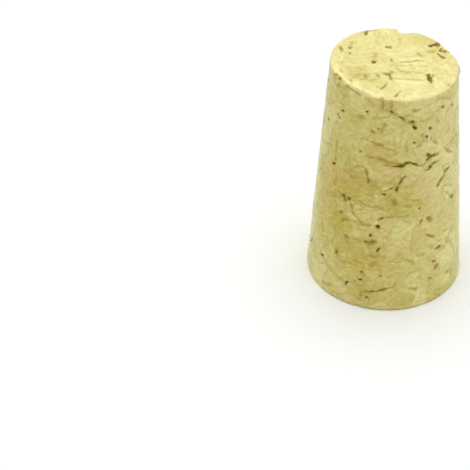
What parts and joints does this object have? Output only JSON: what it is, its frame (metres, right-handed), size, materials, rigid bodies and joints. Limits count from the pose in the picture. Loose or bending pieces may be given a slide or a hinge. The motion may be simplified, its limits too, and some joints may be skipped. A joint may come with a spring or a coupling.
{
  "type": "cork stopper",
  "caption": "Tapered bottle or flask stopper of agglomerated cork, a solid cone frustum with one end sawn slightly off square.",
  "frame": {"origin": "centre of the wide end face, which the stopper stands on", "axes": "+Z along the axis towards the narrow end, -Y towards the side with the long split"},
  "size_m": [0.024, 0.024, 0.0386],
  "materials": {
    "cork": "matt agglomerated cork, pale butter yellow to tan, with brown pits"
  },
  "bodies": {
    "root": {"cork_stopper": "cork"}
  },
  "joints": []
}
